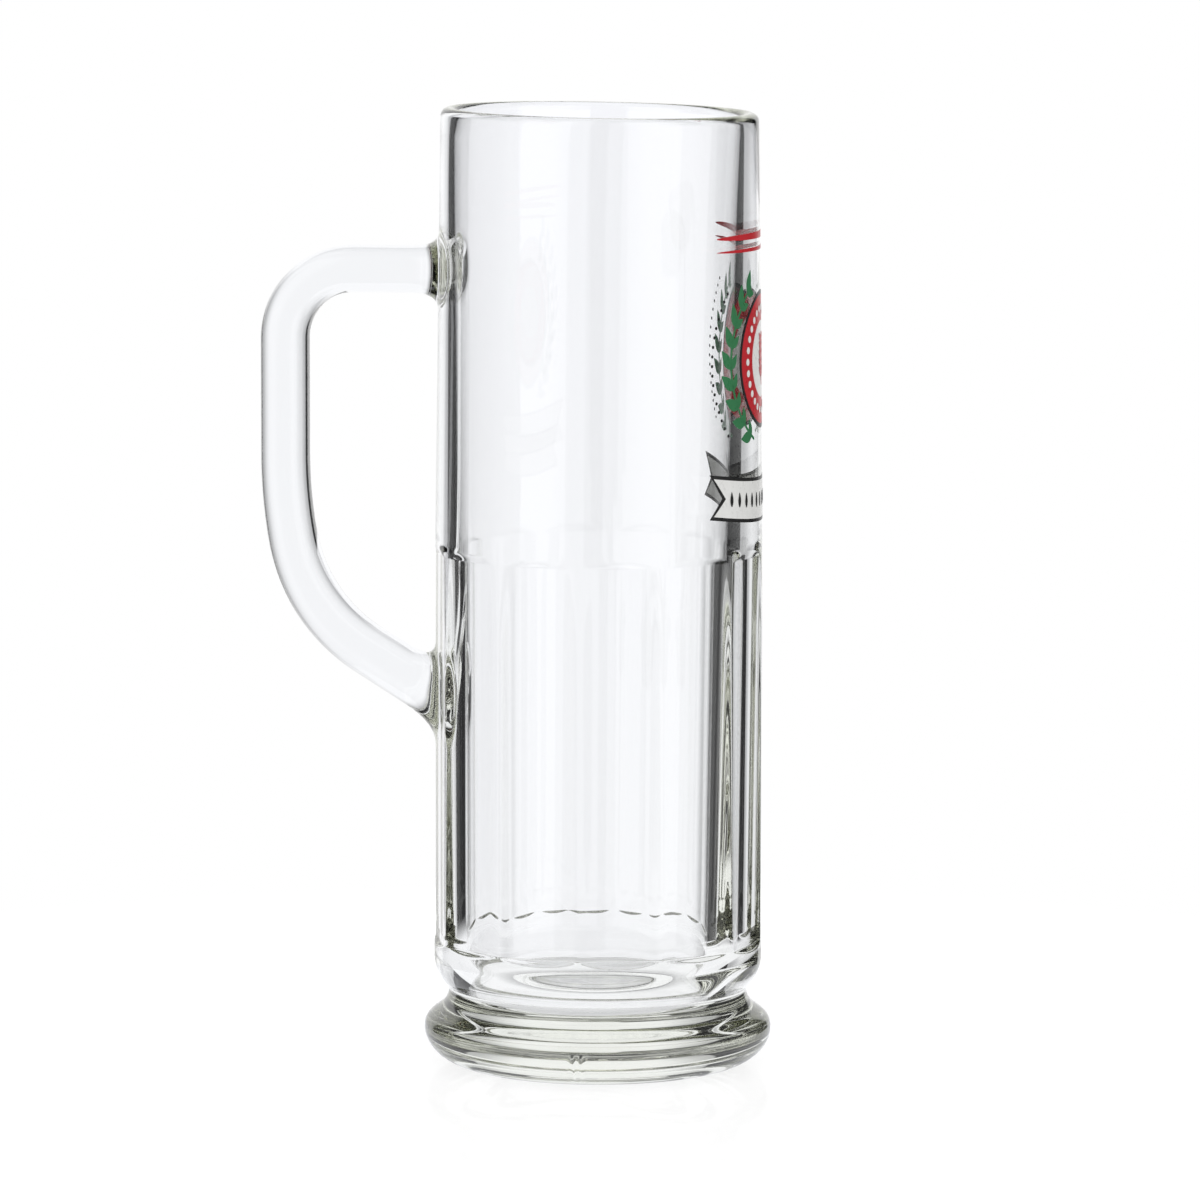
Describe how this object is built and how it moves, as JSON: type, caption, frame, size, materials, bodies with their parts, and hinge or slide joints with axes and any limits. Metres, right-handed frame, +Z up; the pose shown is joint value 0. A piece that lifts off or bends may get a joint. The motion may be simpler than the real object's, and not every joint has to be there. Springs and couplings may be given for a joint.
{
  "type": "beer mug",
  "caption": "Tall slim clear glass beer mug with a panelled lower half, a thick base on a flared foot, a fused side handle and a fired colour print opposite the handle.",
  "frame": {"origin": "on the mug's axis, on the surface that the foot rests on", "axes": "+Z up along the mug's axis, -X towards the handle, +X towards the print"},
  "size_m": [0.1154, 0.0786, 0.215],
  "materials": {
    "clear_glass": "clear, fire-polished soda-lime glass",
    "red_enamel": "fired glossy enamel",
    "green_enamel": "fired glossy enamel",
    "white_enamel": "fired glossy enamel",
    "black_enamel": "fired glossy enamel"
  },
  "bodies": {
    "root": {"glass_body": "clear_glass", "handle": "clear_glass", "print_medallion_line": "black_enamel", "print_medallion_band": "red_enamel", "print_medallion_field": "white_enamel", "print_wreath_left": "green_enamel", "print_wreath_right": "green_enamel", "print_ribbon_line": "black_enamel", "print_ribbon": "white_enamel", "print_wide_rule": "red_enamel", "print_fine_rule": "red_enamel"}
  },
  "joints": []
}
